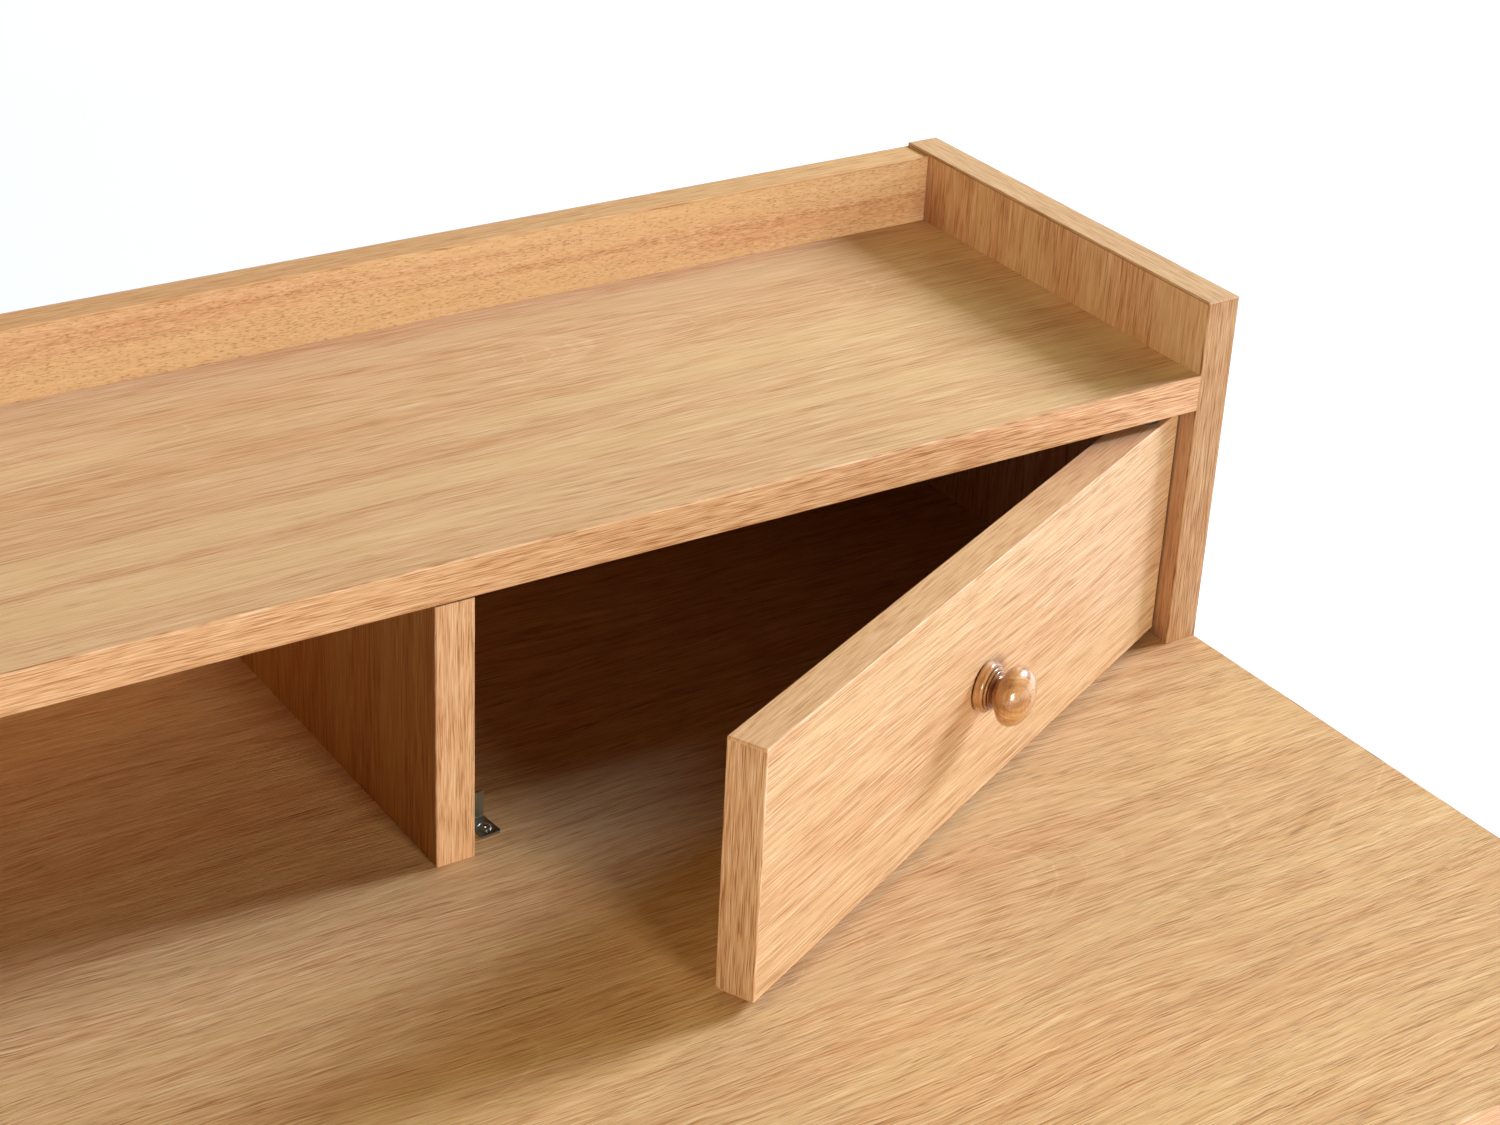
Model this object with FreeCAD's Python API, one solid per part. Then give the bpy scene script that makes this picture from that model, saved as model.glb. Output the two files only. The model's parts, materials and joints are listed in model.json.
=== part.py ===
"""Desk top with a low rear hutch: side panels, shelf, raised back board, divider and one cupboard bay.

The cupboard's door turns on vertical pivot pins beside the right side panel and stands open at rest.
Millimetres. X runs along the desk, Y to the back, Z up. The origin is the middle of the underside.
"""

import math
import os

import FreeCAD
import Part

# Driving dimensions ------------------------------------------------------------------------------
DESK_WIDTH = 800.0
DESK_DEPTH = 480.0
BOARD = 15.0  # thickness of every board
BAND = 1.0  # thickness of the edge bands
ARRIS = 0.6  # rounding of the banded edges

SIDE_DEPTH = 198.0
SIDE_HEIGHT = 149.5  # above the desk top
SHELF_CLEAR = 104.0  # from the desk top to the shelf's underside
BACK_DROP = 1.5  # the back board's top edge lies this far below the side panels'
BAY_WIDTH = 316.5  # clear width of the cupboard bay
DIVIDER_GAP = 0.4  # open joint between the divider and the shelf

DOOR_WIDTH = 310.0
DOOR_HEIGHT = 97.0
DOOR_RECESS = 1.5  # closed door's front face behind the side panel's front edge
DOOR_SIDE_GAP = 2.5  # at the hinged edge
DOOR_FOOT_GAP = 3.5  # under the door
DOOR_OPEN_DEG = 25.4  # angle at rest, from closed

PIVOT_INSET = 15.0  # pivot axis from the door's hinged edge
PIN_R = 2.5
PIN_IN_BOARD = 10.0
PIN_IN_DOOR = 9.0
RUNNING = 0.05  # radial clearance of the pin in its bush
BUSH_R = 4.0
BUSH_FLANGE_R = 5.0
BUSH_DEPTH = 10.5
BUSH_END_PLAY = 0.35
BUSH_ROUND = 0.4

KNOB_FROM_HINGE = 157.0
KNOB_ABOVE_DESK = 51.0
KNOB_BASE_R = 9.5
KNOB_HEAD_R = 11.4
KNOB_HEIGHT = 19.5
KNOB_HEAD_Z = 12.6  # widest circle of the head above the knob's foot
KNOB_SCREW_R = 2.0
KNOB_INSERT_R = 3.5
KNOB_INSERT_DEPTH = 9.0
KNOB_SCREW_IN_KNOB = 8.0
KNOB_SCREW_HEAD_R = 4.0
KNOB_SCREW_HEAD = 2.4
KNOB_SCREW_HOLE_R = 2.25
KNOB_SCREW_RECESS = (4.2, 1.0, 1.5)  # width, blade and depth of a cross recess

STOP_WIDTH = 8.0
STOP_FLAT_LEG = 12.4  # outside lengths of the two legs of the steel angle
STOP_UPRIGHT_LEG = 11.6
STOP_SHEET = 1.0
STOP_FROM_DIVIDER = 14.2  # divider to the fold's far end
STOP_PLAY = 3.6  # closed door's back face to the fold's far end
STOP_TURN = 5.0  # the angle sits a little askew, in degrees
STOP_CORNER = 0.9
STOP_BEND = 0.5  # inside radius of the fold
STOP_SCREW_FROM_BACK = 7.6
STOP_SCREW_HEAD_R = 2.7
STOP_SCREW_R = 1.5
STOP_SCREW_LENGTH = 10.0
STOP_SCREW_DIMPLE_R = 0.5

MAGNET_R = 3.0
MAGNET_DEPTH = 3.0
MAGNET_INSET = 5.5  # from the door's free and bottom edges

SIDE_SCREW_HEAD_R = 5.0
SIDE_SCREW_SHOULDER_R = 3.5
SIDE_SCREW_SHOULDER = 13.0  # from the head's top to the shoulder's end
SIDE_SCREW_R = 2.5
SIDE_SCREW_LENGTH = 50.0
CAP_R = 6.5
CAP_BEVEL = 0.5
CAP_PROUD = 0.4
CAP_THICK = 1.2
SIDE_SCREW_SINK = CAP_THICK - CAP_PROUD  # screw head below the panel's outer face
SOCKET_FLATS = 4.0
SOCKET_DEPTH = 3.5

BASE_SCREW_SINK = 0.4
BASE_SCREW_HEAD_R = 4.0
BASE_SCREW_R = 1.9
BASE_SCREW_LENGTH = 38.0
BASE_SCREW_RECESS = (4.4, 1.0, 1.8)
DOWEL_R = 4.0
DOWEL_LENGTH = 30.0
DOWEL_SHORT_END = 10.0

INSERT_R = 5.0
INSERT_BORE_R = 2.5
INSERT_LENGTH = 12.0
INSERT_FLANGE_R = 6.5
INSERT_FLANGE = 1.0
INSERT_SPACING_X = 700.0
INSERT_SPACING_Y = 380.0

SHELF_SCREW_INSET = 35.0  # side screws of the shelf, from its front and back edges
BACK_SCREW_RISE = 40.0  # lower side screw of the back board, above the desk top
BACK_SCREW_DROP = 16.0  # upper one, below the side panel's top edge
BASE_SCREW_INSET = 32.0  # base screws from the ends of the board they hold
BACK_BASE_SCREW_X = (-260.0, -70.0, 230.0)
DIVIDER_DOWEL_INSET = 45.0
SHELF_DOWEL_X = (-250.0, 0.0, 250.0)

# Places worked out from them ---------------------------------------------------------------------
HALF_X = DESK_WIDTH / 2
BACK_Y = DESK_DEPTH / 2
FRONT_Y = BACK_Y - SIDE_DEPTH  # front of the hutch
DESK_Z = BOARD  # surface of the desk top
SIDE_TOP_Z = DESK_Z + SIDE_HEIGHT
SHELF_Z = DESK_Z + SHELF_CLEAR
INNER_X = HALF_X - BOARD
BACK_BOARD_Y = BACK_Y - BOARD
DIVIDER_X = INNER_X - BAY_WIDTH - BOARD

DOOR_X = INNER_X - DOOR_SIDE_GAP - DOOR_WIDTH  # free edge when closed
DOOR_Y = FRONT_Y + DOOR_RECESS
DOOR_Z = DESK_Z + DOOR_FOOT_GAP
DOOR_TOP_Z = DOOR_Z + DOOR_HEIGHT
PIVOT = FreeCAD.Vector(DOOR_X + DOOR_WIDTH - PIVOT_INSET, DOOR_Y + BOARD / 2, 0)
STOP_X = DIVIDER_X + BOARD + STOP_FROM_DIVIDER
STOP_Y = DOOR_Y + BOARD + STOP_PLAY  # front face of the upright leg at the fold's far end

AXIS = {"x": FreeCAD.Vector(1, 0, 0), "y": FreeCAD.Vector(0, 1, 0), "z": FreeCAD.Vector(0, 0, 1)}
MID_BOARD_Y = BACK_BOARD_Y + BOARD / 2
MID_DIVIDER_X = DIVIDER_X + BOARD / 2
SIDE_SCREW_SPOTS = [
    (FRONT_Y + SHELF_SCREW_INSET, SHELF_Z + BOARD / 2),
    (BACK_BOARD_Y - SHELF_SCREW_INSET, SHELF_Z + BOARD / 2),
    (MID_BOARD_Y, DESK_Z + BACK_SCREW_RISE),
    (MID_BOARD_Y, SIDE_TOP_Z - BACK_SCREW_DROP),
]
SIDE_BASE_SCREW_Y = (FRONT_Y + BASE_SCREW_INSET, BACK_BOARD_Y - BASE_SCREW_INSET)
BASE_SCREW_SPOTS = (
    [(side * (HALF_X - BOARD / 2), y) for side in (-1, 1) for y in SIDE_BASE_SCREW_Y]
    + [(MID_DIVIDER_X, y) for y in SIDE_BASE_SCREW_Y]
    + [(x, MID_BOARD_Y) for x in BACK_BASE_SCREW_X]
)
DIVIDER_DOWEL_Y = (FRONT_Y + DIVIDER_DOWEL_INSET, BACK_BOARD_Y - DIVIDER_DOWEL_INSET)


# Shape helpers -----------------------------------------------------------------------------------
def block(low, high):
    """Box between two corners."""
    size = [b - a for a, b in zip(low, high)]
    return Part.makeBox(size[0], size[1], size[2], FreeCAD.Vector(*low))


def turned(profile):
    """Solid of revolution about Z from (radius, height) points that start and end on the axis."""
    points = [FreeCAD.Vector(r, 0, z) for r, z in profile]
    wire = Part.makePolygon(points + [points[0]])
    return Part.Face(wire).revolve(FreeCAD.Vector(0, 0, 0), AXIS["z"], 360)


def aimed(shape, place, direction):
    """Turn a shape made along +Z to a direction and move it to a place."""
    copy = shape.copy()
    turn = FreeCAD.Rotation(AXIS["z"], FreeCAD.Vector(*direction))
    copy.Placement = FreeCAD.Placement(FreeCAD.Vector(*place), turn)
    return copy


def on_plane(edge, axis, value):
    """True when a whole edge lies on the plane where the named coordinate has the value."""
    return all(abs(getattr(v.Point, axis) - value) < 1e-6 for v in edge.Vertexes)


def faces_of(low, high):
    """The six outer planes of a box by name."""
    return {
        "left": ("x", low[0]),
        "right": ("x", high[0]),
        "front": ("y", low[1]),
        "back": ("y", high[1]),
        "foot": ("z", low[2]),
        "top": ("z", high[2]),
    }


def banded_board(low, high, banded, butted=()):
    """Split a rounded board into its core and one edge band for each banded face.

    A band named earlier runs over the ends of the later ones. Edges on a butted face stay sharp.
    """
    planes = faces_of(low, high)
    envelope = block(low, high)
    free_edges = []
    for edge in envelope.Edges:
        is_banded = any(on_plane(edge, *planes[name]) for name in banded)
        is_butted = any(on_plane(edge, *planes[name]) for name in butted)
        if is_banded and not is_butted:
            free_edges.append(edge)
    rest = envelope.makeFillet(ARRIS, free_edges)
    pieces = {}
    for name in banded:
        axis = "xyz".index(planes[name][0])
        slab_low = list(low)
        slab_high = list(high)
        if name in ("left", "front", "foot"):
            slab_high[axis] = low[axis] + BAND
        else:
            slab_low[axis] = high[axis] - BAND
        slab = block(slab_low, slab_high)
        pieces[name] = rest.common(slab)
        rest = rest.cut(slab)
    pieces["core"] = rest
    return pieces


def cut_all(shape, tools):
    """Cut the tools that reach into a shape, and return its single solid."""
    for tool in tools:
        if shape.BoundBox.intersect(tool.BoundBox):
            shape = shape.cut(tool)
    return shape.Solids[0] if len(shape.Solids) == 1 else shape


# Fasteners, made along +Z with the head's top face at zero and the tip pointing up --------------
def hex_socket(across_flats, depth):
    """Prism that cuts a hexagon socket downward-facing at zero."""
    radius = across_flats / math.sqrt(3)
    corners = [
        FreeCAD.Vector(radius * math.cos(math.pi * k / 3), radius * math.sin(math.pi * k / 3), 0)
        for k in range(7)
    ]
    return Part.Face(Part.makePolygon(corners)).extrude(FreeCAD.Vector(0, 0, depth))


def cross_recess(width, thickness, depth):
    """Two crossed blades that cut a cross recess at zero."""
    blade = block((-width / 2, -thickness / 2, 0), (width / 2, thickness / 2, depth))
    other = block((-thickness / 2, -width / 2, 0), (thickness / 2, width / 2, depth))
    return blade.fuse(other)


def side_screw_body():
    """Panel connector screw with a thick shoulder under its countersunk head."""
    rim = 1.0
    point = 3.0
    return turned(
        [
            (0, 0),
            (SIDE_SCREW_HEAD_R, 0),
            (SIDE_SCREW_HEAD_R, rim),
            (SIDE_SCREW_SHOULDER_R, rim + SIDE_SCREW_HEAD_R - SIDE_SCREW_SHOULDER_R),
            (SIDE_SCREW_SHOULDER_R, SIDE_SCREW_SHOULDER),
            (SIDE_SCREW_R, SIDE_SCREW_SHOULDER + SIDE_SCREW_SHOULDER_R - SIDE_SCREW_R),
            (SIDE_SCREW_R, SIDE_SCREW_LENGTH - point),
            (SIDE_SCREW_R / 2, SIDE_SCREW_LENGTH),
            (0, SIDE_SCREW_LENGTH),
        ]
    )


def wood_screw_body(head_r, shank_r, length):
    """Countersunk wood screw with a pointed tip."""
    cone = head_r - shank_r
    return turned(
        [(0, 0), (head_r, 0), (shank_r, cone), (shank_r, length - 3 * shank_r), (0, length)]
    )


def dowel_body():
    """Plain wooden dowel with chamfered ends."""
    bevel = 0.8
    return turned(
        [
            (0, 0),
            (DOWEL_R - bevel, 0),
            (DOWEL_R, bevel),
            (DOWEL_R, DOWEL_LENGTH - bevel),
            (DOWEL_R - bevel, DOWEL_LENGTH),
            (0, DOWEL_LENGTH),
        ]
    )


def side_places():
    """Place and inward direction of every side screw, at the panel's outer face."""
    return [((side * HALF_X, y, z), (-side, 0, 0)) for side in (-1, 1) for y, z in SIDE_SCREW_SPOTS]


def side_screws():
    """Bodies of the side screws, without their sockets."""
    body = side_screw_body()
    shift = SIDE_SCREW_SINK
    return [aimed(body, (x + d[0] * shift, y, z), d) for (x, y, z), d in side_places()]


def side_screw_sockets():
    """Hexagon sockets of the side screws."""
    socket = hex_socket(SOCKET_FLATS, SOCKET_DEPTH)
    shift = SIDE_SCREW_SINK
    return [aimed(socket, (x + d[0] * shift, y, z), d) for (x, y, z), d in side_places()]


def screw_caps():
    """Round plastic caps over the side screws, a little proud of the panel."""
    outline = [(0, 0), (CAP_R - CAP_BEVEL, 0), (CAP_R, CAP_PROUD), (CAP_R, CAP_THICK), (0, CAP_THICK)]
    cap = turned(outline)
    return [aimed(cap, (x - d[0] * CAP_PROUD, y, z), d) for (x, y, z), d in side_places()]


def base_screws():
    """Bodies of the screws that come up through the desk top."""
    body = wood_screw_body(BASE_SCREW_HEAD_R, BASE_SCREW_R, BASE_SCREW_LENGTH)
    return [aimed(body, (x, y, BASE_SCREW_SINK), (0, 0, 1)) for x, y in BASE_SCREW_SPOTS]


def base_screw_wells():
    """Shallow round wells that sink the base screws' heads."""
    return [
        Part.makeCylinder(BASE_SCREW_HEAD_R, BASE_SCREW_SINK, FreeCAD.Vector(x, y, 0))
        for x, y in BASE_SCREW_SPOTS
    ]


def dowels():
    """Dowels from divider to shelf and from shelf to back board."""
    body = dowel_body()
    long_end = DOWEL_LENGTH - DOWEL_SHORT_END
    upright = [aimed(body, (MID_DIVIDER_X, y, SHELF_Z - long_end), (0, 0, 1)) for y in DIVIDER_DOWEL_Y]
    flat = [
        aimed(body, (x, BACK_BOARD_Y - long_end, SHELF_Z + BOARD / 2), (0, 1, 0)) for x in SHELF_DOWEL_X
    ]
    return upright + flat


def leg_insert_places():
    """Corners of the leg insert rectangle on the underside."""
    return [
        FreeCAD.Vector(sx * INSERT_SPACING_X / 2, sy * INSERT_SPACING_Y / 2, 0)
        for sx in (-1, 1)
        for sy in (-1, 1)
    ]


def leg_insert_bodies():
    """Outer shape of the threaded leg inserts."""
    body = turned(
        [
            (0, 0),
            (INSERT_FLANGE_R, 0),
            (INSERT_FLANGE_R, INSERT_FLANGE),
            (INSERT_R, INSERT_FLANGE),
            (INSERT_R, INSERT_LENGTH),
            (0, INSERT_LENGTH),
        ]
    )
    return [aimed(body, place, (0, 0, 1)) for place in leg_insert_places()]


# Pivots ------------------------------------------------------------------------------------------
def pin(low_z, high_z):
    """Steel pivot pin with chamfered ends on the pivot axis."""
    bevel = 0.5
    length = high_z - low_z
    body = turned(
        [
            (0, 0),
            (PIN_R - bevel, 0),
            (PIN_R, bevel),
            (PIN_R, length - bevel),
            (PIN_R - bevel, length),
            (0, length),
        ]
    )
    return aimed(body, (PIVOT.x, PIVOT.y, low_z), (0, 0, 1))


def bush_outline(flange):
    """Outer shape of a pivot bush, flange end at zero and barrel pointing up."""
    return turned(
        [
            (0, 0),
            (BUSH_FLANGE_R - BUSH_ROUND, 0),
            (BUSH_FLANGE_R, BUSH_ROUND),
            (BUSH_FLANGE_R, flange),
            (BUSH_R, flange),
            (BUSH_R, flange + BUSH_DEPTH),
            (0, flange + BUSH_DEPTH),
        ]
    )


def bush(flange):
    """Flanged nylon bush bored for the pin."""
    bore = Part.makeCylinder(PIN_R + RUNNING, flange + BUSH_DEPTH)
    return bush_outline(flange).cut(bore)


# Door --------------------------------------------------------------------------------------------
def knob_profile():
    """Half outline of the knob: base flange, two beads, neck and domed head."""
    outline = [(0.0, 0.0), (KNOB_BASE_R - 0.3, 0.0), (KNOB_BASE_R, 0.3), (KNOB_BASE_R, 3.1)]
    outline += arc_points((KNOB_BASE_R - 0.9, 3.1), 0.9, 0.9, 15, 90, 3)
    outline += arc_points((7.2, 4.6), 0.8, 0.6, -60, 80, 4)
    outline += arc_points((6.2, 5.7), 0.7, 0.5, -60, 80, 4)
    outline += arc_points((6.3, 7.0), 1.1, 0.8, 230, 120, 4)
    outline += arc_points((0.0, KNOB_HEAD_Z), KNOB_HEAD_R, KNOB_HEAD_Z - 7.4, -58, 0, 6)
    outline += arc_points((0.0, KNOB_HEAD_Z), KNOB_HEAD_R, KNOB_HEIGHT - KNOB_HEAD_Z, 9, 90, 9)
    return outline


def arc_points(centre, radius_r, radius_z, start, end, steps):
    """Points along an elliptic arc in the (radius, height) plane, angles in degrees."""
    points = []
    for k in range(steps + 1):
        angle = math.radians(start + (end - start) * k / steps)
        r = centre[0] + radius_r * math.cos(angle)
        points.append((max(r, 0.0), centre[1] + radius_z * math.sin(angle)))
    return points


def knob_place(y):
    """Point on the knob's axis at a closed-door depth."""
    x = DOOR_X + DOOR_WIDTH - KNOB_FROM_HINGE
    return (x, y, DESK_Z + KNOB_ABOVE_DESK)


def door_pieces():
    """Every piece of the door, in the closed position."""
    low = (DOOR_X, DOOR_Y, DOOR_Z)
    high = (DOOR_X + DOOR_WIDTH, DOOR_Y + BOARD, DOOR_TOP_Z)
    board = banded_board(low, high, ("top", "foot", "left", "right"))

    foot_flange = DOOR_FOOT_GAP - BUSH_END_PLAY
    head_flange = SHELF_Z - DOOR_TOP_Z - BUSH_END_PLAY
    foot_at = (PIVOT.x, PIVOT.y, DESK_Z + BUSH_END_PLAY)
    head_at = (PIVOT.x, PIVOT.y, SHELF_Z - BUSH_END_PLAY)
    foot_cut = aimed(bush_outline(foot_flange), foot_at, (0, 0, 1))
    head_cut = aimed(bush_outline(head_flange), head_at, (0, 0, -1))

    back_y = DOOR_Y + BOARD
    knob_hole = aimed(Part.makeCylinder(KNOB_SCREW_HOLE_R, BOARD), knob_place(back_y), (0, -1, 0))
    magnet_at = (DOOR_X + MAGNET_INSET, back_y, DOOR_Z + MAGNET_INSET)
    magnet = aimed(Part.makeCylinder(MAGNET_R, MAGNET_DEPTH), magnet_at, (0, -1, 0))
    tools = [foot_cut, head_cut, knob_hole, magnet]
    pieces = {
        "door_board": cut_all(board["core"], tools),
        "door_top_band": cut_all(board["top"], tools),
        "door_foot_band": cut_all(board["foot"], tools),
        "door_free_band": board["left"],
        "door_hinge_band": board["right"],
        "door_foot_bush": aimed(bush(foot_flange), foot_at, (0, 0, 1)),
        "door_head_bush": aimed(bush(head_flange), head_at, (0, 0, -1)),
        "door_magnet": magnet,
    }
    pieces.update(knob_pieces(back_y))
    return pieces


def knob_pieces(back_y):
    """Knob, its threaded insert and the screw that holds it through the door."""
    top = KNOB_SCREW_HEAD
    tip = top + BOARD + KNOB_SCREW_IN_KNOB
    bevel = 0.8
    screw = turned(
        [
            (0, 0),
            (KNOB_SCREW_HEAD_R - bevel, 0),
            (KNOB_SCREW_HEAD_R, bevel),
            (KNOB_SCREW_HEAD_R, top),
            (KNOB_SCREW_R, top),
            (KNOB_SCREW_R, tip),
            (0, tip),
        ]
    )
    screw = screw.cut(cross_recess(*KNOB_SCREW_RECESS))
    insert = Part.makeCylinder(KNOB_INSERT_R, KNOB_INSERT_DEPTH)
    bore = Part.makeCylinder(KNOB_SCREW_R, KNOB_INSERT_DEPTH)
    knob = turned(knob_profile()).cut(insert)
    return {
        "knob": aimed(knob, knob_place(DOOR_Y), (0, -1, 0)),
        "knob_insert": aimed(insert.cut(bore), knob_place(DOOR_Y), (0, -1, 0)),
        "knob_screw": aimed(screw, knob_place(back_y + top), (0, -1, 0)),
    }


def opened(shape):
    """Turn a door piece from the closed position to its place at rest."""
    copy = shape.copy()
    copy.rotate(PIVOT, AXIS["z"], DOOR_OPEN_DEG)
    return copy


# Door stop ---------------------------------------------------------------------------------------
def askew(shape):
    """Turn a door stop part about the fold's far end."""
    shape.rotate(FreeCAD.Vector(STOP_X, STOP_Y, 0), AXIS["z"], STOP_TURN)
    return shape


def stop_angle():
    """Folded steel angle: one leg flat on the desk top, the other upright behind the closed door."""
    outer = STOP_BEND + STOP_SHEET
    back_y = STOP_Y + STOP_SHEET
    front_y = back_y - STOP_FLAT_LEG
    top_z = DESK_Z + STOP_UPRIGHT_LEG
    near_x = STOP_X - STOP_WIDTH
    section = block((near_x, front_y, DESK_Z), (STOP_X, back_y, top_z))
    hollow = block((near_x, front_y, DESK_Z + STOP_SHEET), (STOP_X, STOP_Y, top_z))
    angle = section.cut(hollow)
    for radius, fold_y, fold_z in ((outer, back_y, DESK_Z), (STOP_BEND, STOP_Y, DESK_Z + STOP_SHEET)):
        fold = [e for e in angle.Edges if on_plane(e, "y", fold_y) and on_plane(e, "z", fold_z)]
        angle = angle.makeFillet(radius, fold)
    free_ends = [e for e in angle.Edges if on_plane(e, "y", front_y) or on_plane(e, "z", top_z)]
    corners = [e for e in free_ends if abs(e.Length - STOP_SHEET) < 0.01]
    return askew(angle.makeFillet(STOP_CORNER, corners))


def stop_screw():
    """Flange head screw: raised rim, groove and a dimpled middle on the flat leg, shank in the board."""
    rim = STOP_SCREW_HEAD_R
    screw = turned(
        [
            (0, -0.4),
            (STOP_SCREW_DIMPLE_R, -0.4),
            (STOP_SCREW_DIMPLE_R, -0.9),
            (STOP_SCREW_DIMPLE_R + 0.5, -0.9),
            (STOP_SCREW_DIMPLE_R + 0.8, -0.35),
            (rim - 0.8, -0.3),
            (rim - 0.5, -0.65),
            (rim - 0.2, -0.65),
            (rim, -0.4),
            (rim, 0),
            (STOP_SCREW_R, 0),
            (STOP_SCREW_R, STOP_SCREW_LENGTH - 3 * STOP_SCREW_R),
            (0, STOP_SCREW_LENGTH),
        ]
    )
    place_y = STOP_Y + STOP_SHEET - STOP_SCREW_FROM_BACK
    place = (STOP_X - STOP_WIDTH / 2, place_y, DESK_Z + STOP_SHEET)
    return askew(aimed(screw, place, (0, 0, -1)))


# Carcass -----------------------------------------------------------------------------------------
def carcass_boards():
    """Boards and bands of the desk top and hutch, before drilling."""
    desk = banded_board(
        (-HALF_X, -BACK_Y, 0), (HALF_X, BACK_Y, DESK_Z), ("front", "back", "left", "right")
    )
    shelf = banded_board(
        (-INNER_X, FRONT_Y, SHELF_Z),
        (INNER_X, BACK_BOARD_Y, SHELF_Z + BOARD),
        ("front",),
        ("left", "right", "back"),
    )
    back = banded_board(
        (-INNER_X, BACK_BOARD_Y, DESK_Z),
        (INNER_X, BACK_Y, SIDE_TOP_Z - BACK_DROP),
        ("top",),
        ("left", "right"),
    )
    divider = banded_board(
        (DIVIDER_X, FRONT_Y, DESK_Z),
        (DIVIDER_X + BOARD, BACK_BOARD_Y, SHELF_Z - DIVIDER_GAP),
        ("front",),
        ("top", "foot", "back"),
    )
    nodes = {
        "desk_top_board": desk["core"],
        "desk_top_front_band": desk["front"],
        "desk_top_back_band": desk["back"],
        "desk_top_left_band": desk["left"],
        "desk_top_right_band": desk["right"],
        "shelf_board": shelf["core"],
        "shelf_front_band": shelf["front"],
        "back_board": back["core"],
        "back_board_top_band": back["top"],
        "divider_board": divider["core"],
        "divider_front_band": divider["front"],
    }
    for name, low_x in (("right", INNER_X), ("left", -HALF_X)):
        side = banded_board(
            (low_x, FRONT_Y, DESK_Z),
            (low_x + BOARD, BACK_Y, SIDE_TOP_Z),
            ("top", "front", "back"),
            ("foot",),
        )
        nodes[name + "_side_board"] = side["core"]
        nodes[name + "_side_top_band"] = side["top"]
        nodes[name + "_side_front_band"] = side["front"]
        nodes[name + "_side_back_band"] = side["back"]
    return nodes


def build():
    """Every node of the object at rest."""
    foot_pin = pin(DESK_Z - PIN_IN_BOARD, DOOR_Z + PIN_IN_DOOR)
    head_pin = pin(DOOR_TOP_Z - PIN_IN_DOOR, SHELF_Z + PIN_IN_BOARD)
    stop_fixing = stop_screw()
    inserts = leg_insert_bodies()
    screws = side_screws()
    feet = base_screws()
    wood_pins = dowels()
    caps = screw_caps()
    tools = screws + caps + feet + base_screw_wells() + wood_pins + inserts
    tools += [foot_pin, head_pin, stop_fixing]

    nodes = {name: cut_all(shape, tools) for name, shape in carcass_boards().items()}
    nodes["foot_pivot_pin"] = foot_pin
    nodes["head_pivot_pin"] = head_pin
    nodes["door_stop_angle"] = stop_angle().cut(stop_fixing)
    nodes["door_stop_screw"] = stop_fixing

    recess = cross_recess(*BASE_SCREW_RECESS)
    cut_feet = []
    for body, (x, y) in zip(feet, BASE_SCREW_SPOTS):
        cut_feet.append(body.cut(aimed(recess, (x, y, BASE_SCREW_SINK), (0, 0, 1))))
    nodes["base_screws"] = Part.makeCompound(cut_feet)
    sockets = side_screw_sockets()
    nodes["side_screws"] = Part.makeCompound([s.cut(h) for s, h in zip(screws, sockets)])
    nodes["side_screw_caps"] = Part.makeCompound(caps)
    nodes["dowels"] = Part.makeCompound(wood_pins)
    bores = [Part.makeCylinder(INSERT_BORE_R, INSERT_LENGTH, place) for place in leg_insert_places()]
    nodes["leg_inserts"] = Part.makeCompound([i.cut(b) for i, b in zip(inserts, bores)])

    for name, shape in door_pieces().items():
        nodes[name] = opened(shape)
    return nodes


os.makedirs("parts", exist_ok=True)
for node, solid in build().items():
    solid.exportStep("parts/" + node + ".step")
    print(node, "solids", len(solid.Solids), "valid", solid.isValid(), "volume", round(solid.Volume, 1))
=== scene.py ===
"""Looks of the desk top hutch: oak-grain boards and bands, turned knob, steel door stop, studio.

Metres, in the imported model's own frame: X along the desk, Y to the back, Z up.
"""

import json
import math

import bmesh
import bpy
from mathutils import Matrix, Vector


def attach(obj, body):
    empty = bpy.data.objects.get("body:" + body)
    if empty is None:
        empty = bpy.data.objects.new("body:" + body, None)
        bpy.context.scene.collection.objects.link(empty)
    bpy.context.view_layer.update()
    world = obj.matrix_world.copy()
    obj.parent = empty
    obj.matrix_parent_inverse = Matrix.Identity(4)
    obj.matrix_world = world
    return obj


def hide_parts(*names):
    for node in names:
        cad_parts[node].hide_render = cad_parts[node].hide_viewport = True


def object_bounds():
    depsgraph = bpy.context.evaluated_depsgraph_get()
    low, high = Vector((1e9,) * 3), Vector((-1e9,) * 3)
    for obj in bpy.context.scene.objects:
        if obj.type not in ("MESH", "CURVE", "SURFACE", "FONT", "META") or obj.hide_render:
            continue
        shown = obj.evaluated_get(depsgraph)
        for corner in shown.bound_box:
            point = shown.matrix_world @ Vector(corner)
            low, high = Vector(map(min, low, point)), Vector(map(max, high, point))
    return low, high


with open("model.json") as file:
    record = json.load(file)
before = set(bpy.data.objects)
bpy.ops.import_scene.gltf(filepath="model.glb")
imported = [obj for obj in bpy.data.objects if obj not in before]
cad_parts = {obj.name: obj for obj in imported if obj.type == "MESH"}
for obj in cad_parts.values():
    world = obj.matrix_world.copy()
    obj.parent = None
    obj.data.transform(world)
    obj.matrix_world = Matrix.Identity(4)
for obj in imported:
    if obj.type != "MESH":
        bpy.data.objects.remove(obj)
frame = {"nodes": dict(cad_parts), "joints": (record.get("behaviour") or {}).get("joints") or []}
cad_low, cad_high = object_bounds()

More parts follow.
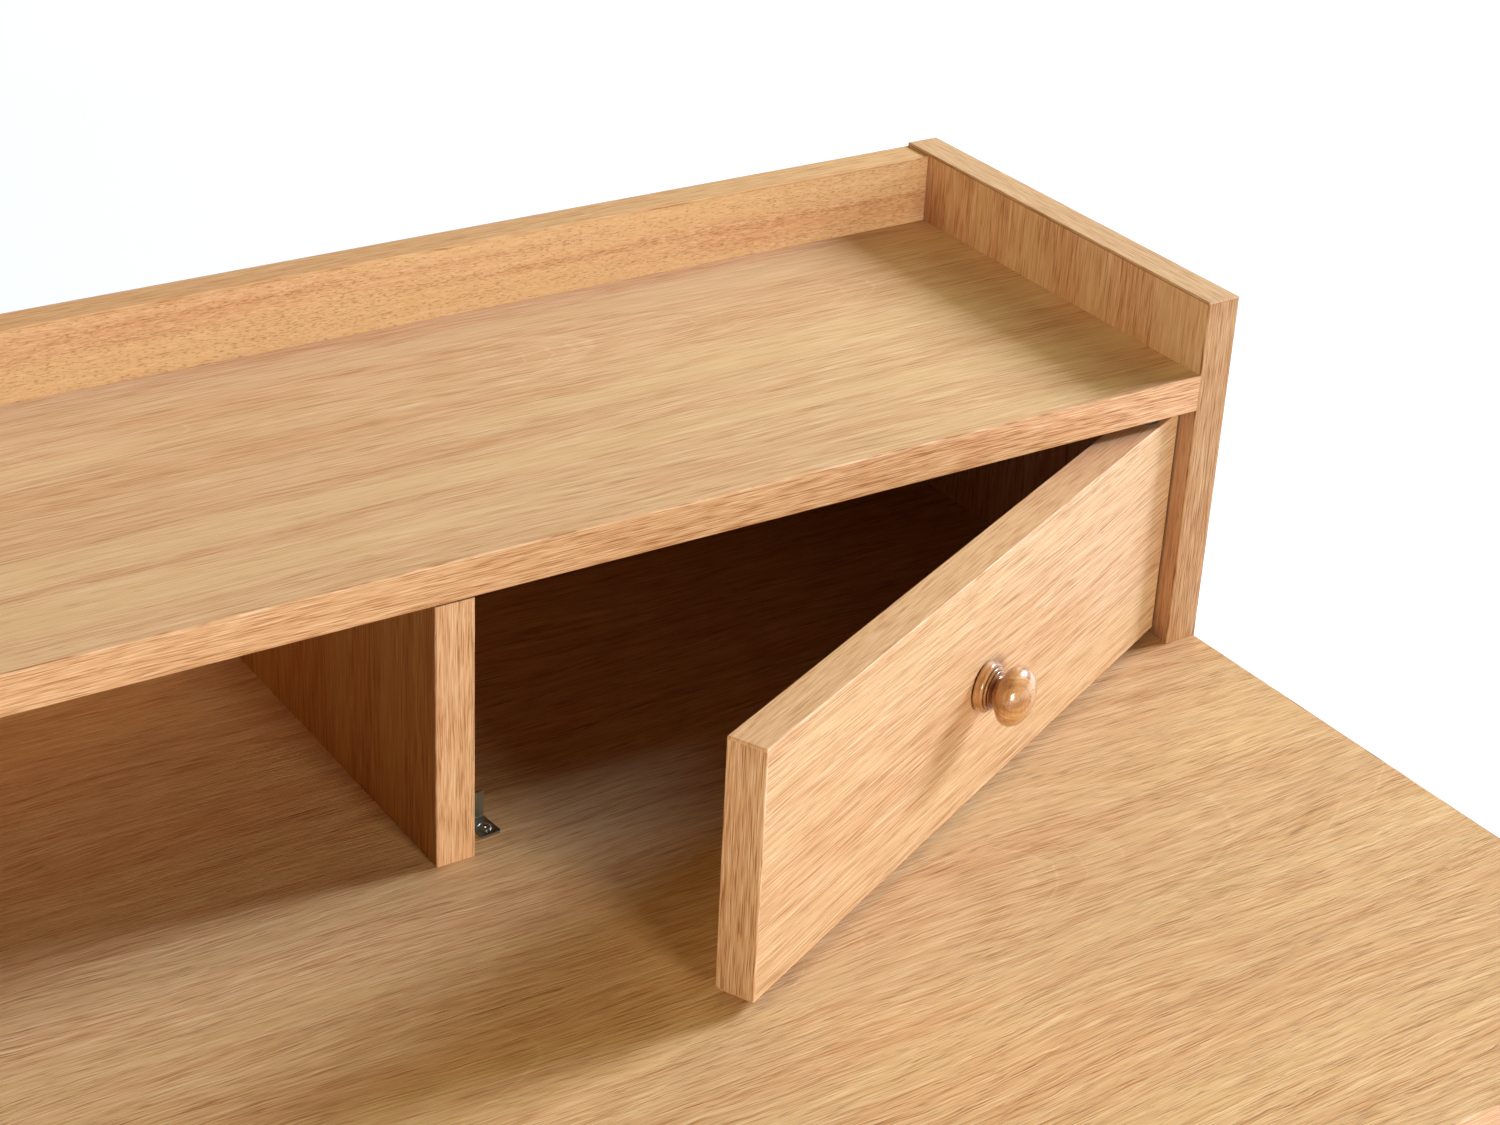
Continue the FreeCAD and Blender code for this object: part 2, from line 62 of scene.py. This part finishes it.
MM = 0.001
NODES = frame["nodes"]
JOINT = frame["joints"][0]
PIVOT = Vector(JOINT["pos_m"])
OPEN_ANGLE = -math.radians(JOINT["range_deg"][0])  # the door stands this far open at rest
DOOR_TURN = Matrix.Translation(PIVOT) @ Matrix.Rotation(OPEN_ANGLE, 4, "Z") @ Matrix.Translation(-PIVOT)


# Colours ------------------------------------------------------------------------------------------
def linear(red, green, blue):
    """Scene-linear colour from an everyday 0 to 255 colour."""

    def channel(value):
        share = value / 255
        return share / 12.92 if share <= 0.04045 else ((share + 0.055) / 1.055) ** 2.4

    return (channel(red), channel(green), channel(blue), 1.0)


# Shader helpers -----------------------------------------------------------------------------------
class Value:
    """An output of a shader node that can be added, multiplied and so on."""

    def __init__(self, net, socket):
        self.net = net
        self.socket = socket

    def __add__(self, other):
        return self.net.math("ADD", self, other)

    def __sub__(self, other):
        return self.net.math("SUBTRACT", self, other)

    def __mul__(self, other):
        return self.net.math("MULTIPLY", self, other)

    def __truediv__(self, other):
        return self.net.math("DIVIDE", self, other)


class Net:
    """One node material, with short calls that add and link its nodes."""

    def __init__(self, name):
        self.material = bpy.data.materials.new(name)
        self.material.use_nodes = True
        self.tree = self.material.node_tree
        self.tree.nodes.clear()
        self.out = self.tree.nodes.new("ShaderNodeOutputMaterial")

    def node(self, kind, inputs, **settings):
        made = self.tree.nodes.new("ShaderNode" + kind)
        for key, value in settings.items():
            setattr(made, key, value)
        for key, value in inputs.items():
            if isinstance(value, Value):
                self.tree.links.new(value.socket, made.inputs[key])
            else:
                made.inputs[key].default_value = value
        return made

    def first(self, kind, inputs, **settings):
        """Add a node and give its first output."""
        return Value(self, self.node(kind, inputs, **settings).outputs[0])

    def math(self, operation, one, two=0.0):
        return self.first("Math", {0: one, 1: two}, operation=operation)

    def join(self, x, y, z):
        return self.first("CombineXYZ", {0: x, 1: y, 2: z})

    def noise(self, vector, detail=2.0, roughness=0.5):
        inputs = {"Vector": vector, "Scale": 1.0, "Detail": detail, "Roughness": roughness}
        return self.first("TexNoise", inputs)

    def noise_line(self, place, detail=2.0):
        """Noise that changes along one number only."""
        inputs = {"W": place, "Scale": 1.0, "Detail": detail, "Roughness": 0.55}
        return self.first("TexNoise", inputs, noise_dimensions="1D")

    def ease(self, value, low, high, start=0.0, end=1.0):
        """Smooth step from start to end while value goes from low to high."""
        inputs = {0: value, 1: low, 2: high, 3: start, 4: end}
        return self.first("MapRange", inputs, interpolation_type="SMOOTHSTEP")

    def blend(self, share, one, two, mode="MIX"):
        """Colour one with a share of colour two mixed or multiplied in."""
        made = self.node("Mix", {0: share, 6: one, 7: two}, data_type="RGBA", blend_type=mode)
        return Value(self, made.outputs[2])

    def ramp(self, value, stops):
        """Colour ramp from (place, colour) pairs."""
        made = self.node("ValToRGB", {0: value})
        elements = made.color_ramp.elements
        while len(elements) < len(stops):
            elements.new(0.5)
        for element, (place, colour) in zip(elements, stops):
            element.position = place
            element.color = colour
        return Value(self, made.outputs[0])

    def place_mm(self, on_door=False):
        """Object coordinates in millimetres, with the door's turned back to its closed position."""
        coordinates = self.tree.nodes.new("ShaderNodeTexCoord")
        place = Value(self, coordinates.outputs["Object"])
        if on_door:
            place = self.first(
                "VectorRotate",
                {"Vector": place, "Center": PIVOT, "Angle": -OPEN_ANGLE},
                rotation_type="Z_AXIS",
            )
        scaled = self.node("VectorMath", {0: place, "Scale": 1 / MM}, operation="SCALE")
        split = self.node("SeparateXYZ", {0: Value(self, scaled.outputs[0])})
        return {axis: Value(self, split.outputs[k]) for k, axis in enumerate("xyz")}

    def across(self, offset, line):
        """Distance from a line through the origin; line is its direction, of length one."""
        crossed = self.node("VectorMath", {0: offset, 1: line}, operation="CROSS_PRODUCT")
        length = self.node("VectorMath", {0: Value(self, crossed.outputs[0])}, operation="LENGTH")
        return Value(self, length.outputs[1])

    def bump(self, height, distance):
        """Surface normal from a height map; distance is in metres."""
        return self.first("Bump", {"Height": height, "Distance": distance, "Strength": 1.0})

    def surface(self, **inputs):
        """Finish the material with a principled surface; names use _ for spaces."""
        named = {key.replace("_", " "): value for key, value in inputs.items()}
        shader = self.node("BsdfPrincipled", named)
        self.tree.links.new(shader.outputs[0], self.out.inputs[0])
        return self.material


# Oak ----------------------------------------------------------------------------------------------
OAK_STOPS = [
    (0.05, linear(160, 108, 64)),
    (0.38, linear(202, 153, 107)),
    (0.62, linear(217, 174, 129)),
    (0.95, linear(236, 204, 163)),
]
YELLOW = linear(222, 186, 132)
ROSY = linear(244, 222, 210)
PORE = linear(132, 84, 48)
SEAM = linear(110, 66, 34)
SIDE_SEAM = ("z", 163.5)  # joint under the side panels' top bands

# Sizes of the parts of the figure in millimetres: along the grain, then across it.
WANDER = (190, 60)  # slow bends of the grain
RIPPLE = (13, 5)  # its small waves
LINES = (10, 0.65)  # short lines of the open grain
STREAKS = (130, 2.2)
CROWDS = (60, 5)  # where the growth rings' edges and the pores gather
PATCHES = (360, 20)  # yellower and rosier wood
PORES = (5, 0.5)
THROUGH = 300  # depth in the board over which the bends change
RING_GAP = 6  # between growth rings

# How far the grain bends sideways for each millimetre of an oak's wave.
WANDER_REACH = 5
RIPPLE_REACH = 0.5
RIPPLE_MOST = 1.3  # millimetres
RING_RIPPLE = 0.8  # extra, on the growth rings only

# Contrasts of the short lines and of the long streaks, before an oak's own factors.
LINE_TONE = 0.25
STREAK_TONE = 0.30
FURROW_TONE = 1.3  # furrows against ridges
PORE_TONE = 0.4

SEAM_HALF = 0.12  # half width of a dark joint, in millimetres
SEAM_FADE = 0.3  # distance at which it has faded out
SEAM_TONE = 0.7


def oak(
    name, along, across, seed, on_door=False, arch=None, wave=3.0, fine=1.0, length=1.0, width=1.0,
    streaky=1.0, rings=0.16, pores=0.4, yellow=0.4, tint=(1, 1, 1), relief=0.05, seams=(),
):
    """Oak grain under satin lacquer, with short open pores.

    along and across are the axes of the grain and of the board's width. arch is (centre across, height
    at the origin, slope) of the growth rings' cone, or None for straight grain. wave is the grain's
    sideways wander in millimetres. fine, streaky and rings are the contrasts of the short lines, of the
    long streaks and of the growth rings; length and width scale the short lines. pores is how many
    pores are open, and yellow the strength of the yellower and rosier patches. relief is the depth of
    the open grain in millimetres. seams are (axis, place) planes of thin dark joints. seed picks the
    cut; each part of the figure adds its own number to it, so that they don't repeat each other.
    """
    net = Net(name)
    place = net.place_mm(on_door)
    grain = place[along]
    side = place[across]
    depth = place[next(a for a in "xyz" if a not in (along, across))]

    bends = net.join(grain / WANDER[0], side / WANDER[1], depth / THROUGH + seed)
    wander = net.noise(bends, 1.0) - 0.5
    waves = net.join(grain / RIPPLE[0], side / RIPPLE[1], depth / THROUGH + seed + 3.7)
    ripple = net.noise(waves, 1.0) - 0.5
    line = side + wander * (WANDER_REACH * wave) + ripple * min(RIPPLE_MOST, RIPPLE_REACH * wave)

    if arch:
        centre, height, slope = arch
        sideways = line - centre
        rise = grain * slope + height
        ring = net.math("SQRT", sideways * sideways + rise * rise)
    else:
        ring = line
    ring = ring + ripple * RING_RIPPLE
    growth = net.noise_line(ring / RING_GAP + seed * 5.3)
    short = net.join(grain / (LINES[0] * length), line / (LINES[1] * width), seed + 1.3)
    lines = net.noise(short, 1.0, 0.6)
    streaks = net.noise(net.join(grain / STREAKS[0], line / STREAKS[1], seed))
    furrows = net.ease(lines, 0.52, 0.70)
    ridges = net.ease(lines, 0.48, 0.32)

    crowd = net.noise(net.join(grain / CROWDS[0], ring / CROWDS[1], seed + 2.2))
    edge = net.ease(net.math("ABSOLUTE", growth - 0.5), 0.015, 0.0) * net.ease(crowd, 0.42, 0.58)

    tone = (ridges - furrows * FURROW_TONE) * (LINE_TONE * fine)
    tone = tone + (streaks - 0.5) * (STREAK_TONE * streaky)
    tone = tone + ((growth - 0.5) + edge * 0.5) * rings
    colour = net.ramp(tone + 0.5, OAK_STOPS)

    patches = net.noise(net.join(grain / PATCHES[0], line / PATCHES[1], seed + 4.4), 3.0)
    colour = net.blend(net.ease(patches, 0.48, 0.62, 0.0, yellow), colour, YELLOW)
    colour = net.blend(net.ease(patches, 0.50, 0.36, 0.0, yellow), colour, ROSY, "MULTIPLY")
    # Painted light and shade: besides the oak's own tone, each board's tint is set to how bright and how
    # warm its faces come out under these lamps. It darkens boards that come out too lit and cools those that
    # the warm lamps light.
    colour = net.blend(1.0, colour, (*tint, 1.0), "MULTIPLY")

    dash = net.noise(net.join(grain / (PORES[0] * length), line / PORES[1], seed + 5.9), 1.0)
    level = dash + (crowd - 0.5) * 0.2 - (growth - 0.5) * 0.15
    dashes = net.ease(level, 0.70 - 0.12 * pores, 0.82 - 0.12 * pores)
    colour = net.blend(dashes * PORE_TONE, colour, PORE)
    for axis, value in seams:
        gap = net.math("ABSOLUTE", place[axis] - value)
        colour = net.blend(net.ease(gap, SEAM_HALF, SEAM_FADE, SEAM_TONE, 0.0), colour, SEAM)

    height_map = ridges * 0.4 - furrows * 0.6 - dashes
    rough = net.ease(lines, 0.35, 0.65, 0.38, 0.52)
    return net.surface(
        Base_Color=colour, Roughness=rough, Specular_IOR_Level=0.22, Normal=net.bump(height_map, relief * MM)
    )


def put_on(material, *names):
    """Give CAD nodes one material."""
    for name in names:
        mesh = NODES[name].data
        mesh.materials.clear()
        mesh.materials.append(material)


def dress_boards():
    """Every board with its own cut of oak."""
    desk = oak(
        "oak_desk_top", "x", "y", 1.0, arch=(-60, 60, 0.12), wave=4, length=2.0, width=0.65,
        rings=0.22, pores=0.7, yellow=0.25, tint=(1.03, 1.05, 1.09), relief=0.12,
    )
    put_on(desk, "desk_top_board")
    shelf = oak(
        "oak_shelf", "x", "y", 2.0, arch=(177, 30, 0.10), wave=2, fine=0.8, length=2.2, width=0.7,
        rings=0.2, pores=0.3, yellow=0.35, tint=(1.01, 1.07, 1.30),
    )
    put_on(shelf, "shelf_board")
    back = oak(
        "oak_back", "x", "z", 3.0, wave=1.2, fine=0.6, length=0.5, pores=1.2, tint=(1.06, 1.09, 1.34)
    )
    put_on(back, "back_board")
    # The divider's dark, deep tint is painted shade: it darkens its side faces, which stand in the shade of
    # the bays.
    divider = oak("oak_divider", "z", "y", 4.0, wave=0.8, length=2, tint=(0.75, 0.63, 0.38))
    put_on(divider, "divider_board")
    right_side = oak(
        "oak_right_side", "z", "y", 5.0, arch=(160, 6, 0.2), wave=1, length=1.5, streaky=1.5,
        tint=(1.0, 1.03, 1.36), seams=[SIDE_SEAM],
    )
    put_on(right_side, "right_side_board")
    # The left side's darker tint is painted shade, set against the key light on its inner face.
    left_side = oak(
        "oak_left_side", "z", "y", 6.0, wave=1, length=1.5, streaky=1.2, tint=(0.92, 0.92, 1.0),
        seams=[SIDE_SEAM],
    )
    put_on(left_side, "left_side_board")
    door = oak(
        "oak_door", "x", "z", 7.0, on_door=True, wave=1.2, length=2.4, width=0.75, pores=0.9,
        yellow=0.2, streaky=0.7, tint=(0.92, 0.97, 1.14),
    )
    put_on(door, "door_board")


BAND = {
    "wave": 0.6, "fine": 1.4, "length": 1.3, "width": 0.55, "rings": 0.08, "yellow": 0.12,
    "pores": 0.3, "relief": 0.008, "streaky": 0.4,
}
CALM_BAND = {**BAND, "fine": 0.8, "pores": 0.1, "streaky": 0.3}


def dress_bands():
    """Edge bands: straight, fine grain along each band, calmer on the ones seen from above."""
    lengthwise = oak("oak_band_x", "x", "z", 8.0, tint=(1.04, 1.02, 1.22), **BAND)
    put_on(lengthwise, "desk_top_front_band", "desk_top_back_band", "shelf_front_band")
    back = oak("oak_back_band", "x", "y", 9.0, tint=(1.0, 0.99, 1.1), **CALM_BAND)
    put_on(back, "back_board_top_band")
    desk_end = oak("oak_desk_end_band", "y", "z", 10.0, tint=(1.0, 1.0, 1.15), **BAND)
    put_on(desk_end, "desk_top_left_band", "desk_top_right_band")
    side_top = oak(
        "oak_side_top_band", "y", "x", 11.0, tint=(0.93, 0.95, 1.22), seams=[SIDE_SEAM], **CALM_BAND
    )
    put_on(side_top, "right_side_top_band", "left_side_top_band")
    # The upright bands' darker tint is painted shade on the side panels' front and back edges.
    upright = oak("oak_upright_band", "z", "x", 12.0, tint=(0.76, 0.74, 0.79), **BAND)
    for part in ("right_side", "left_side"):
        put_on(upright, part + "_front_band", part + "_back_band")
    divider = oak("oak_divider_band", "z", "x", 15.0, tint=(1.06, 1.04, 1.30), **BAND)
    put_on(divider, "divider_front_band")
    door_edge = oak("oak_door_edge", "x", "y", 13.0, on_door=True, tint=(0.98, 0.96, 1.12), **CALM_BAND)
    put_on(door_edge, "door_top_band", "door_foot_band")
    door_end = oak("oak_door_end", "z", "y", 14.0, on_door=True, tint=(0.97, 0.99, 1.22), **BAND)
    put_on(door_end, "door_free_band", "door_hinge_band")


# Metal, plastic and dowels ------------------------------------------------------------------------
SPECKLE = 0.15  # how much darker the dark spots are
CLOUD = 9  # size of the slow changes, in millimetres
PLAIN_RELIEF = 0.00003


def plain(name, colour, roughness, metallic=0.0, grain=0.4):
    """Slightly uneven solid material; grain is the size of its spots in millimetres."""
    net = Net(name)
    place = net.place_mm()
    spots = net.noise(net.join(place["x"] / grain, place["y"] / grain, place["z"] / grain), 3.0)
    clouds = net.noise(net.join(place["x"] / CLOUD, place["y"] / CLOUD, place["z"] / CLOUD))
    dark = tuple(c * (1 - SPECKLE) for c in colour[:3]) + (1.0,)
    base = net.blend(net.ease(spots * 0.5 + clouds * 0.5, 0.35, 0.65), dark, colour)
    rough = net.ease(clouds, 0.3, 0.7, roughness * 0.85, roughness * 1.15)
    return net.surface(
        Base_Color=base, Roughness=rough, Metallic=metallic, Normal=net.bump(spots, PLAIN_RELIEF)
    )


def dress_hardware():
    """Metal, plastic and dowel nodes."""
    zinc = plain("zinc", linear(168, 172, 172), 0.32, 1.0)
    put_on(zinc, "door_stop_angle", "door_stop_screw", "knob_screw")
    put_on(zinc, "base_screws", "side_screws", "leg_inserts")
    put_on(plain("pin_steel", linear(150, 152, 156), 0.28, 1.0), "foot_pivot_pin", "head_pivot_pin")
    put_on(plain("nylon", linear(42, 48, 58), 0.4), "door_foot_bush", "door_head_bush")
    put_on(plain("brass", linear(198, 160, 92), 0.3, 1.0), "knob_insert")
    put_on(plain("magnet", linear(190, 190, 188), 0.2, 1.0), "door_magnet")
    put_on(plain("cap", linear(200, 152, 104), 0.5), "side_screw_caps")
    put_on(plain("dowel_wood", linear(214, 184, 142), 0.7, grain=0.8), "dowels")


# Turned knob --------------------------------------------------------------------------------------
# The CAD knob's corners with the door closed, and the (x, z) of its axis.
KNOB_CORNERS = [DOOR_TURN.inverted() @ v.co for v in NODES["knob"].data.vertices]
KNOB_AXIS = tuple(
    (min(p[k] for p in KNOB_CORNERS) + max(p[k] for p in KNOB_CORNERS)) / 2 for k in (0, 2)
)
KNOB_HEAD_Y = min(p.y for p in KNOB_CORNERS) + 7 * MM  # middle of the head
PITH = Vector((-0.8, -0.45, 0.38)).normalized()  # the tree's centre line through the knob's head
KNOB_STOPS = [(0.36, linear(150, 98, 56)), (0.5, linear(190, 135, 86)), (0.64, linear(218, 168, 116))]
KNOB_RING_GAP = 1.1  # between growth rings round the pith, in millimetres
TURNING_GAP = 0.75  # between the soft rings left by the lathe
KNOB_RELIEF = 0.00002
KNOB_TURNS = 96
FLANGE_SHARE = 0.15  # part of the knob's height that belongs to the flange
ON_AXIS = 1e-6  # a radius below this is a single point
CREASE = math.radians(38)  # sharper edges of the turned profile stay crisp

# Steps of the outline's arcs.
EDGE_STEPS = 4
BEAD_STEPS = 8
UNDERSIDE_STEPS = 14
HEAD_STEPS = 24

# Heights in the outline, in millimetres from the knob's foot, and the shape under the head.
SHADOW_GAP = 0.6
NECK_HEIGHT = 7.0
UNDERSIDE_START = -62  # degrees
UNDERSIDE_FULLNESS = 0.85  # below one swells the underside


def knob_wood():
    """Turned hardwood under clear gloss lacquer, with growth rings round the pith line."""
    net = Net("knob_wood")
    place = net.place_mm(on_door=True)
    axis_x, axis_z = (c / MM for c in KNOB_AXIS)
    off_x = place["x"] - axis_x
    off_z = place["z"] - axis_z
    radius = net.math("SQRT", off_x * off_x + off_z * off_z)
    turning = net.noise_line(radius / TURNING_GAP + place["y"] / 2.8)
    off_y = place["y"] - KNOB_HEAD_Y / MM
    from_pith = net.across(net.join(off_x, off_y, off_z), PITH)
    wander = net.noise(net.join(place["x"] / 5, place["y"] / 5, place["z"] / 5), 1.0)
    rings = net.noise_line(from_pith / KNOB_RING_GAP + wander * 1.5, 1.0)
    figure = net.noise(net.join(place["x"] / 6, place["y"] / 8, place["z"] / 5))
    fibre = net.noise(net.join(place["x"] / 0.8, place["y"] / 0.6, place["z"] / 0.45))
    colour = net.ramp(figure * 0.4 + fibre * 0.2 + rings * 0.25 + turning * 0.15, KNOB_STOPS)
    return net.surface(
        Base_Color=colour, Roughness=0.35, Coat_Weight=1.0, Coat_Roughness=0.06,
        Normal=net.bump(fibre * 0.3 + turning, KNOB_RELIEF),
    )


def arc(centre, radius, start, end, steps):
    """Points on an elliptic arc in the (radius, height) plane, in millimetres and degrees."""
    points = []
    for k in range(steps + 1):
        angle = math.radians(start + (end - start) * k / steps)
        points.append((centre[0] + radius[0] * math.cos(angle), centre[1] + radius[1] * math.sin(angle)))
    return points


def knob_outline(base, head, height, widest):
    """Half outline of the turned knob, as (radius, height) in metres from its foot to its top.

    base and head are the radii of the flange and the head, height the knob's own and widest the one at
    which the head is fullest, all in millimetres.
    """
    foot = base - 1.8
    outline = [(0.0, 0.0), (foot, 0.0), (foot, SHADOW_GAP), (base - 0.3, SHADOW_GAP)]
    # Flange: its lower edge, then its rounded top.
    outline += arc((base - 0.3, 0.9), (0.3, 0.3), -70, 0, EDGE_STEPS)
    outline += arc((base - 1.3, 2.6), (1.3, 1.3), 0, 85, BEAD_STEPS)
    # Two beads, each after a narrow groove.
    outline += [(base - 2.4, 3.75)]
    outline += arc((base - 2.35, 4.45), (0.95, 0.55), -70, 88, BEAD_STEPS)
    outline += [(base - 3.2, 4.85)]
    outline += arc((base - 3.25, 5.5), (0.95, 0.5), -70, 88, BEAD_STEPS)
    outline += [(base - 3.9, 5.85)]
    # Cove of the neck, then the head's underside and its dome.
    outline += arc((base - 2.9, NECK_HEIGHT), (1.25, 0.95), 225, 130, BEAD_STEPS)
    low = widest - NECK_HEIGHT
    for k in range(UNDERSIDE_STEPS + 1):
        angle = math.radians(UNDERSIDE_START - UNDERSIDE_START * k / UNDERSIDE_STEPS)
        outline.append((head * math.cos(angle) ** UNDERSIDE_FULLNESS, widest + low * math.sin(angle)))
    outline += arc((0.0, widest), (head, height - widest), 5, 90, HEAD_STEPS)
    return [(max(r, 0.0) * MM, z * MM) for r, z in outline]


def turned_knob():
    """Smooth knob in place of the CAD knob, on the same axis and to the same size."""
    foot = max(p.y for p in KNOB_CORNERS)
    height = foot - min(p.y for p in KNOB_CORNERS)
    head = max(abs(p.x - KNOB_AXIS[0]) for p in KNOB_CORNERS)
    near_foot = [p for p in KNOB_CORNERS if p.y > foot - FLANGE_SHARE * height]
    base = max(abs(p.x - KNOB_AXIS[0]) for p in near_foot)
    widest = foot - max(KNOB_CORNERS, key=lambda p: p.x).y
    outline = knob_outline(base / MM, head / MM, height / MM, widest / MM)

    build = bmesh.new()
    circles = []
    for radius, rise in outline:
        if radius < ON_AXIS:
            circles.append([build.verts.new((KNOB_AXIS[0], foot - rise, KNOB_AXIS[1]))])
            continue
        circle = []
        for k in range(KNOB_TURNS):
            turn = 2 * math.pi * k / KNOB_TURNS
            x = KNOB_AXIS[0] + radius * math.cos(turn)
            circle.append(build.verts.new((x, foot - rise, KNOB_AXIS[1] + radius * math.sin(turn))))
        circles.append(circle)
    for one, two in zip(circles, circles[1:]):
        for k in range(KNOB_TURNS):
            after = (k + 1) % KNOB_TURNS
            ring = [one[k % len(one)], one[after % len(one)], two[after % len(two)], two[k % len(two)]]
            build.faces.new(list(dict.fromkeys(ring)))  # a triangle where one circle is a point
    bmesh.ops.recalc_face_normals(build, faces=build.faces)
    for face in build.faces:
        face.smooth = True
    mesh = bpy.data.meshes.new("knob_turned")
    build.to_mesh(mesh)
    build.free()
    mesh.set_sharp_from_angle(angle=CREASE)
    mesh.transform(DOOR_TURN)
    made = bpy.data.objects.new("knob_turned", mesh)
    mesh.materials.append(knob_wood())
    bpy.context.scene.collection.objects.link(made)
    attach(made, "door")
    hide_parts("knob")


# Studio -------------------------------------------------------------------------------------------
FLOOR_HALF = 9.0
FLOOR_CELLS = 8
FLOOR_GAP = 0.5 * MM  # keeps the floor clear of the desk top's underside
FLOOR_WHITE = (0.93, 0.93, 0.93, 1.0)
GLOW_FROM = 1200  # millimetres from the middle; the glow is faint inside this
GLOW_TO = 4000  # and full outside this
GLOW_NEAR = (0.035, 0.10, 0.33, 1.0)  # evens out the warm lights, so the floor stays white
GLOW_FAR = (0.9, 0.9, 0.9, 1.0)


def floor():
    """Large pale floor just under the desk top, with a glow that keeps it white to the horizon."""
    build = bmesh.new()
    bmesh.ops.create_grid(build, x_segments=FLOOR_CELLS, y_segments=FLOOR_CELLS, size=FLOOR_HALF)
    mesh = bpy.data.meshes.new("floor")
    build.to_mesh(mesh)
    build.free()
    made = bpy.data.objects.new("floor", mesh)
    made.location.z = cad_low.z - FLOOR_GAP
    bpy.context.scene.collection.objects.link(made)
    net = Net("floor")
    place = net.place_mm()
    away = net.math("SQRT", place["x"] * place["x"] + place["y"] * place["y"])
    glow = net.blend(net.ease(away, GLOW_FROM, GLOW_TO), GLOW_NEAR, GLOW_FAR)
    shell = net.surface(
        Base_Color=FLOOR_WHITE, Roughness=0.9, Emission_Color=glow, Emission_Strength=1.0
    )
    mesh.materials.append(shell)


LIGHT_TARGET = Vector((0.1, 0.05, 0.08))
COOL = (0.94, 1.08, 1.20)
CREAM = (1.0, 0.94, 0.68)
SAND = (1.0, 0.85, 0.42)
AMBER = (1.0, 0.82, 0.40)
GOLD = (1.0, 0.72, 0.2)
AMBIENT = (1.0, 0.75, 0.4, 1.0)
AMBIENT_STRENGTH = 0.04


def area_light(name, azimuth, rise, distance, size, strength, colour):
    """Square softbox aimed at the hutch.

    azimuth is its place round the object in degrees, 0 at the right and -90 in front, and rise its angle
    above the horizon. strength 1 makes a white surface that faces it render as white.
    """
    turn = math.radians(azimuth)
    lift = math.radians(rise)
    away = Vector(
        (math.cos(turn) * math.cos(lift), math.sin(turn) * math.cos(lift), math.sin(lift))
    )
    lamp = bpy.data.lights.new(name, "AREA")
    lamp.shape = "SQUARE"
    lamp.size = size
    lamp.energy = strength * (math.pi * distance) ** 2
    lamp.color = colour
    made = bpy.data.objects.new(name, lamp)
    made.location = LIGHT_TARGET + away * distance
    made.rotation_mode = "QUATERNION"
    made.rotation_quaternion = (-away).to_track_quat("-Z", "Y")
    bpy.context.scene.collection.objects.link(made)


def lights():
    """Cool white key from the right, and warm fills from the front, both sides and above."""
    area_light("key", azimuth=-2, rise=27, distance=5.0, size=1.4, strength=1.31, colour=COOL)
    area_light("front", azimuth=-88, rise=9, distance=3.0, size=0.8, strength=0.74, colour=CREAM)
    area_light("left", azimuth=160, rise=25, distance=2.4, size=1.4, strength=0.46, colour=AMBER)
    area_light("right", azimuth=40, rise=30, distance=3.0, size=1.5, strength=0.28, colour=SAND)
    area_light("top", azimuth=100, rise=72, distance=3.0, size=1.5, strength=0.06, colour=GOLD)
    world = bpy.data.worlds.new("studio")
    world.use_nodes = True
    background = world.node_tree.nodes["Background"]
    background.inputs[0].default_value = AMBIENT
    background.inputs[1].default_value = AMBIENT_STRENGTH
    bpy.context.scene.world = world
    bpy.context.scene.view_settings.view_transform = "Standard"


CAMERA_PLACE = Vector((-0.33370, -0.70956, 0.58784))
CAMERA_AZIMUTH = math.radians(-34.293)
CAMERA_DROP = math.radians(28.001)
CAMERA_ROLL = math.radians(2.939)
CAMERA_LENS = 69.49
CAMERA_SENSOR = 36
CAMERA_NEAR = 0.02
CAMERA_FAR = 60


def camera():
    """Long lens looking down and to the right, from in front of the desk top's left end."""
    forward = Vector(
        (
            -math.sin(CAMERA_AZIMUTH) * math.cos(CAMERA_DROP),
            math.cos(CAMERA_AZIMUTH) * math.cos(CAMERA_DROP),
            -math.sin(CAMERA_DROP),
        )
    )
    level = Vector((math.cos(CAMERA_AZIMUTH), math.sin(CAMERA_AZIMUTH), 0))
    upright = level.cross(forward)
    right = level * math.cos(CAMERA_ROLL) + upright * math.sin(CAMERA_ROLL)
    up = upright * math.cos(CAMERA_ROLL) - level * math.sin(CAMERA_ROLL)
    turn = Matrix((right, up, -forward)).transposed().to_4x4()
    lens = bpy.data.cameras.new("camera")
    lens.sensor_width = CAMERA_SENSOR
    lens.sensor_fit = "HORIZONTAL"
    lens.lens = CAMERA_LENS
    lens.clip_start = CAMERA_NEAR
    lens.clip_end = CAMERA_FAR
    made = bpy.data.objects.new("camera", lens)
    made.matrix_world = Matrix.Translation(CAMERA_PLACE) @ turn
    bpy.context.scene.collection.objects.link(made)
    bpy.context.scene.camera = made


dress_boards()
dress_bands()
dress_hardware()
turned_knob()
floor()
lights()
camera()
